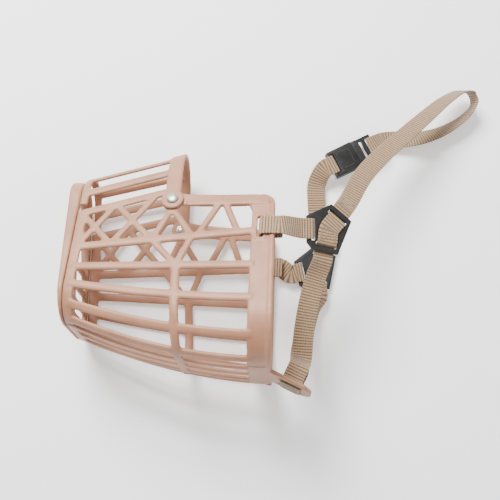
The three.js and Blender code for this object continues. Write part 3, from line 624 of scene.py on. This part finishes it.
def route(stops, spacing):
    """A centripetal Catmull-Rom curve through the stops, with the width direction at each
    point square to it. Returns points, widths, thickness directions and distance run."""
    at = np.array([s[0] for s in stops])
    wide = np.array([unit(s[1]) for s in stops])
    padded = np.concatenate([[2 * at[0] - at[1]], at, [2 * at[-1] - at[-2]]])
    count = int(np.linalg.norm(np.diff(at, axis=0), axis=1).sum() / spacing) + 1
    gaps = np.linalg.norm(np.diff(at, axis=0), axis=1)
    reached = np.concatenate([[0], np.cumsum(gaps)]) / gaps.sum()
    place = np.interp(np.linspace(0, 1, count), reached, np.arange(len(at)))
    index = np.minimum(place.astype(int), len(at) - 2)
    x = (place - index)[:, None]
    p0, p1, p2, p3 = (padded[index + i] for i in range(4))
    d0, d1, d2 = (np.linalg.norm(b - a, axis=1)[:, None] ** 0.5 for a, b in ((p0, p1), (p1, p2), (p2, p3)))
    t1 = ((p1 - p0) / d0 - (p2 - p0) / (d0 + d1) + (p2 - p1) / d1) * d1
    t2 = ((p2 - p1) / d1 - (p3 - p1) / (d1 + d2) + (p3 - p2) / d2) * d1
    points = p1 + t1 * x + (3 * (p2 - p1) - 2 * t1 - t2) * x ** 2 + (2 * (p1 - p2) + t1 + t2) * x ** 3
    tangent = np.gradient(points, axis=0)
    tangent /= np.linalg.norm(tangent, axis=1)[:, None]
    spread = wide[index] * (1 - x) + wide[index + 1] * x
    spread -= (spread * tangent).sum(1)[:, None] * tangent
    spread /= np.linalg.norm(spread, axis=1)[:, None]
    run = np.concatenate([[0], np.cumsum(np.linalg.norm(np.diff(points, axis=0), axis=1))])
    return points, spread, np.cross(tangent, spread), run


def tape(name, stops, node_name):
    """The woven tape: a thin rounded section carried along its route, swelling at each rib.
    Its UV map holds the distance along and across it in metres."""
    points, spread, thick, run = route(stops, 0.42)
    turn = np.linspace(0, 2 * math.pi, 44, endpoint=False) + math.pi / 44
    across = np.sign(np.cos(turn)) * np.abs(np.cos(turn)) ** 0.45 * WEBBING / 2
    height = np.sign(np.sin(turn)) * np.abs(np.sin(turn)) ** 0.3 * WEBBING_WALL / 2
    ribs = 1 + 0.24 * np.cos(2 * math.pi * run / RIB_PITCH)[:, None] * (np.abs(across) < WEBBING / 2 - 1.2)
    offset = spread[:, None] * across[None, :, None] + thick[:, None] * (height * ribs)[..., None]
    made = finish_mesh(name, [skin(points[:, None] + offset)])
    mesh = made.data
    corner = np.zeros(len(mesh.loops), int)
    mesh.loops.foreach_get("vertex_index", corner)
    values = np.stack([run[corner // 44], across[corner % 44]], -1) * MM
    mesh.uv_layers.new(name="tape").data.foreach_set("uv", values.astype(np.float32).ravel())
    mesh.materials.append(nylon)
    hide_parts(node_name)
    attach(made, "muzzle")
    return points, spread, thick, run


# Dyed nylon yarn: matt, with a faint sheen. The base colour holds painted light: the rib crowns are painted
# lighter as a painted highlight and the valleys between the yarns darker as painted shade.
# The yarns run in bundles 2 mm apart.
nylon, shader = new_material("woven_beige_nylon")
place = node(nylon, "UVMap", {"uv_map": "tape"}).outputs["UV"]
WAVE_PERIOD = math.pi / 10
YARN_PITCH = 2.0
cross_ribs = node(nylon, "TexWave", {"bands_direction": "X"}, {"Vector": place},
                  Scale=WAVE_PERIOD / (RIB_PITCH * MM), Distortion=0.4, Detail=1.0)
yarns = node(nylon, "TexWave", {"bands_direction": "Y"}, {"Vector": place},
             Scale=WAVE_PERIOD / (YARN_PITCH * MM), Distortion=0.6, Detail=1.0)
bundles = node(nylon, "MapRange", links={"Value": yarns.outputs["Fac"]}, To_Min=0.6, To_Max=1.0)
weave = node(nylon, "Math", {"operation": "MULTIPLY"})
connect(nylon, cross_ribs.outputs["Fac"], weave.inputs[0])
connect(nylon, bundles.outputs["Result"], weave.inputs[1])
in_place = node(nylon, "TexCoord").outputs["Object"]
fuzz = node(nylon, "TexNoise", links={"Vector": in_place}, Scale=700.0, Detail=4.0)
blend = node(nylon, "Math", {"operation": "MULTIPLY_ADD"})
connect(nylon, fuzz.outputs["Fac"], blend.inputs[0])
blend.inputs[1].default_value = 0.5
connect(nylon, weave.outputs["Value"], blend.inputs[2])
# Painted shade and painted highlight: this ramp darkens the weave's valleys and lightens its crowns, over the
# beige dye and the random fuzz.
dye_and_weave_shade = node(nylon, "ValToRGB", links={"Fac": blend.outputs["Value"]})
dye_and_weave_shade.color_ramp.elements[0].position, dye_and_weave_shade.color_ramp.elements[0].color = 0.15, linear("#463626")
dye_and_weave_shade.color_ramp.elements[1].position, dye_and_weave_shade.color_ramp.elements[1].color = 0.95, linear("#a38565")
connect(nylon, dye_and_weave_shade.outputs["Color"], shader.inputs["Base Color"])
shader.inputs["Roughness"].default_value = 0.82
shader.inputs["Sheen Weight"].default_value = 0.25
shader.inputs["Sheen Roughness"].default_value = 0.5
relief = node(nylon, "Bump", Strength=0.6, Distance=0.0003, links={"Height": blend.outputs["Value"]})
connect(nylon, relief.outputs["Normal"], shader.inputs["Normal"])


def cheek_strap(side, plate):
    """The stops of a cheek strap: round the rear strip of the band and back to the connector."""
    down = unit(lay(wall(LENGTH, SLOT_T + 1, 0, side)) - lay(wall(LENGTH, SLOT_T, 0, side)))
    over, under = HALF + 1 + GAP + WEBBING_WALL / 2 + 0.2, HALF + GAP + WEBBING_WALL / 2 + 0.1
    places = [(LENGTH + 6, -under + 0.6), (LENGTH - 1, -under), (SLOT_U + 1.6, -under), (SLOT_U, -under + 1),
              (SLOT_U, over - 1), (SLOT_U + 1.6, over), (LENGTH - 1, over), (LENGTH + 5, over - 0.4)]
    band = [(lay(wall(u, SLOT_T, n, side)), down) for u, n in places]
    end = plate_turn(plate, "cheek")[::-1]
    return [*band, *(end if end[0][1] @ down > 0 else [(at, -wide) for at, wide in end])]


tongue_way = LAY @ unit([math.cos(TONGUE_SLOPE), -math.sin(TONGUE_SLOPE), 0])
slot_reach = TONGUE_LENGTH - 8 - SLOT_LENGTH / 2
slot_across = TONGUE_SLOT + TONGUE_SLOT_WIDTH / 2
below = HALF + GAP + WEBBING_WALL / 2 + 0.1
tongue_places = [(14, slot_across), (7, slot_across), (2, slot_across), (-below + 0.6, slot_across),
                 (-below, slot_across - 2)]
tongue_stops = [(lay(on_tongue(slot_reach, h, a)), tongue_way) for h, a in
                [*tongue_places, *((h, -a) for h, a in tongue_places[::-1])]]


def on_buckle(x, z, y=0.0):
    """A stop in the buckle's own frame, turned to its heading and moved to its middle."""
    cos, sin = math.cos(BUCKLE_TURN), math.sin(BUCKLE_TURN)
    return BUCKLE_MIDDLE + [x * cos - y * sin, x * sin + y * cos, z], np.array([sin, -cos, 0])


near_neck = [(at, -wide) for at, wide in plate_turn(NEAR_PLATE, "neck", -1)]
far_neck = [(at, -wide) for at, wide in plate_turn(FAR_PLATE, "neck")]
ROUTES = {
    "near_cheek_strap": cheek_strap(1, NEAR_PLATE),
    "far_cheek_strap": cheek_strap(-1, FAR_PLATE),
    "chin_strap": [
        *facing_same(plate_crossing(), tongue_way),
        flat_stop(46.5, 2, 74, 74), flat_stop(42, -18, 70, 76), flat_stop(39, -42, 66, 76),
        flat_stop(38, -60, 65, 74),
        *tongue_stops,
        flat_stop(41, -54, 34, 68), flat_stop(48, -30, 17, 72), flat_stop(54, -13, 7, 78),
        *facing_same(plate_turn(FAR_PLATE, "chin")[::-1], tongue_way),
    ],
    "near_neck_strap": [
        *near_neck,
        tilted_stop(73, 66, 70, 57, 0), tilted_stop(86, 89, 62, 53, 8), tilted_stop(103, 109.5, 53, 46, 18),
        tilted_stop(123, 129.5, 44.5, 44, 26), tilted_stop(146, 152, 35.5, 44, 36),
        tilted_stop(167.5, 172.5, 26.5, 39, 50), tilted_stop(183.5, 183.5, 20, 18, 64),
        tilted_stop(194.5, 184.5, 15, -28, 80), tilted_stop(198.5, 176.5, 12, -85, 96),
        tilted_stop(191.5, 165.5, 10, -128, 112), tilted_stop(180, 156, 9, -142, 124),
        tilted_stop(165, 147.5, 8.5, -153, 138), tilted_stop(148, 142, 8, -166, 152),
        tilted_stop(134, 140.5, 6.5, -168, 167),
        on_buckle(35, -2), on_buckle(28, 3.6), on_buckle(20, 6.2), on_buckle(15.5, 6.2),
    ],
    "far_neck_strap": [
        *far_neck,
        flat_stop(60, 58, 4.5, 90), flat_stop(57, 80, 5, 88), flat_stop(57, 96, 5, 72), on_buckle(-29, 4.4),
        on_buckle(-24, 5.9), on_buckle(-19.5, 5.9), on_buckle(-18, 4.6), on_buckle(-18, -4.4),
    ],
}
laid_tapes = {name: tape(name + "_tape", stops, name) for name, stops in ROUTES.items()}

# Sewing: a box of stitches in a thicker beige thread holds the starting end of the near cheek strap and of
# each neck strap, and both ends of the chin strap, drawn as short raised stitches that dip into the tape at
# their ends.
thread, shader = new_material("twisted_polyester_thread")
shader.inputs["Base Color"].default_value = linear("#94765a")
shader.inputs["Roughness"].default_value = 0.7
shader.inputs["Sheen Weight"].default_value = 0.2
twist = node(thread, "TexWave", {"bands_direction": "DIAGONAL"},
             {"Vector": node(thread, "TexCoord").outputs["Object"]}, Scale=WAVE_PERIOD / (0.35 * MM))
relief = node(thread, "Bump", Strength=0.4, Distance=0.0001, links={"Height": twist.outputs["Fac"]})
connect(thread, relief.outputs["Normal"], shader.inputs["Normal"])
STITCH, STITCH_RADIUS = 2.3, 0.24


def stitch_row(tape_run, start, end, face):
    """Stitches between two (distance, across) points on one face of a tape."""
    points, spread, thick, run = tape_run
    length = math.hypot(end[0] - start[0], end[1] - start[1])
    count = max(1, round(length / STITCH))
    made = []
    for i in range(count):
        share = (i + np.linspace(0.08, 0.92, 7)) / count
        along_run, across = mix((start[0], end[0]), share), mix((start[1], end[1]), share)
        at, wide, out = (np.stack([np.interp(along_run, run, axis) for axis in source.T], -1)
                         for source in (points, spread, thick))
        lift = WEBBING_WALL / 2 + 0.22 * np.sin(np.linspace(0, math.pi, 7))
        middle = at + wide * across[:, None] + out * (face * lift)[:, None]
        way = np.gradient(middle, axis=0)
        way /= np.linalg.norm(way, axis=1)[:, None]
        beside = np.cross(way, out)
        turn = np.linspace(0, 2 * math.pi, 6, endpoint=False)
        round_off = STITCH_RADIUS * np.sqrt(np.sin(np.linspace(0.35, math.pi - 0.35, 7)))[:, None, None]
        made.append(skin(middle[:, None] + round_off * (
            beside[:, None] * np.cos(turn)[None, :, None] + out[:, None] * np.sin(turn)[None, :, None])))
    return made


def box_stitch(tape_run, low, high, face):
    """A rectangle of stitches with its two diagonals, between two distances along the tape."""
    half = WEBBING / 2 - 2.2
    corners = [(low, -half), (high, -half), (high, half), (low, half)]
    rows = [*zip(corners, [*corners[1:], corners[0]]), (corners[0], corners[2]), (corners[1], corners[3])]
    return [stitch for start, end in rows for stitch in stitch_row(tape_run, start, end, face)]


for name, spans in {
    "near_cheek_strap": (("start", 1, 9),),
    "chin_strap": (("start", 12, 22), ("end", 12, 22)),
    "near_neck_strap": (("start", 12, 22),),
    "far_neck_strap": (("start", 12, 22),),
}.items():
    tape_run = laid_tapes[name]
    stitches = []
    for end, low, high in spans:
        total = tape_run[3][-1]
        ends = (low, high) if end == "start" else (total - high, total - low)
        stitches += box_stitch(tape_run, *ends, 1) + box_stitch(tape_run, *ends, -1)
    sewing = finish_mesh(name + "_stitches", stitches)
    sewing.data.materials.append(thread)
    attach(sewing, "muzzle")

# Connectors, buckle socket, plug and prongs: injection moulded acetal, black and smooth, with
# every edge rounded where the mould closes. Handling leaves faint rubs on it.
acetal, shader = new_material("moulded_black_acetal")
place = node(acetal, "TexCoord").outputs["Object"]
rubs = node(acetal, "TexNoise", Scale=260.0, Detail=5.0, Roughness=0.6, links={"Vector": place})
shade = node(acetal, "ValToRGB", links={"Fac": rubs.outputs["Fac"]})
shade.color_ramp.elements[0].position, shade.color_ramp.elements[0].color = 0.35, linear("#0e0e0e")
shade.color_ramp.elements[1].position, shade.color_ramp.elements[1].color = 0.75, linear("#1c1c1b")
connect(acetal, shade.outputs["Color"], shader.inputs["Base Color"])
sheen = node(acetal, "MapRange", links={"Value": rubs.outputs["Fac"]}, To_Min=0.4, To_Max=0.6)
connect(acetal, sheen.outputs["Result"], shader.inputs["Roughness"])
shader.inputs["IOR"].default_value = 1.48
relief = node(acetal, "Bump", Strength=0.12, Distance=0.0001, links={"Height": rubs.outputs["Fac"]})
connect(acetal, relief.outputs["Normal"], shader.inputs["Normal"])


def rounded_copy(node_name, radius):
    """A copy of a CAD solid with its flat faces made whole and every sharp edge rounded."""
    made = bpy.data.objects.new(node_name + "_moulding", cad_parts[node_name].data.copy())
    bpy.context.scene.collection.objects.link(made)
    shape = bmesh.new()
    shape.from_mesh(made.data)
    bmesh.ops.remove_doubles(shape, verts=shape.verts, dist=1e-6)
    bmesh.ops.dissolve_limit(shape, angle_limit=math.radians(1), verts=shape.verts, edges=shape.edges)
    shape.to_mesh(made.data)
    shape.free()
    bevel = made.modifiers.new("rounded_edges", "BEVEL")
    bevel.width = radius * MM
    bevel.segments = 4
    bevel.limit_method = "ANGLE"
    bevel.harden_normals = False
    apply_modifiers(made)
    made.data.materials.clear()
    made.data.materials.append(acetal)
    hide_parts(node_name)
    return made


for name, radius, body in (
    ("near_connector", 0.8, "muzzle"), ("far_connector", 0.8, "muzzle"), ("buckle_socket", 1.0, "muzzle"),
    ("buckle_plug", 0.7, "muzzle"), ("upper_prong", 0.5, "upper_prong"), ("lower_prong", 0.5, "lower_prong"),
):
    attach(rounded_copy(name, radius), body)

# Raised moulding on the buckle, part of the same black acetal mouldings: a low frame on the
# socket's face, and two grip ribs across the plug.
def buckle_beam(x0, y0, x1, y1, z, width, thick):
    """A level bar between two points of the buckle's own frame."""
    wide = unit(np.array([y0 - y1, x1 - x0, 0.0]))
    cos, sin = math.cos(BUCKLE_TURN), math.sin(BUCKLE_TURN)
    turned_wide = [wide[0] * cos - wide[1] * sin, wide[0] * sin + wide[1] * cos, 0]
    return beam(on_buckle(x0, z, y0)[0], on_buckle(x1, z, y1)[0], turned_wide, width, thick)


frame_corners = [(-13, -7.5), (-1.5, -7.5), (-1.5, 7.5), (-13, 7.5)]
frame_sides = zip(frame_corners, [*frame_corners[1:], frame_corners[0]])
raised = [buckle_beam(*start, *end, 4.5, 1.1, 0.7) for start, end in frame_sides]
raised += [buckle_beam(x, -9, x, 9, 3.9, 0.9, 0.8) for x in (4.6, 6.2)]
raised = finish_mesh("buckle_raised_moulding", raised)
raised.data.materials.append(acetal)
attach(raised, "muzzle")
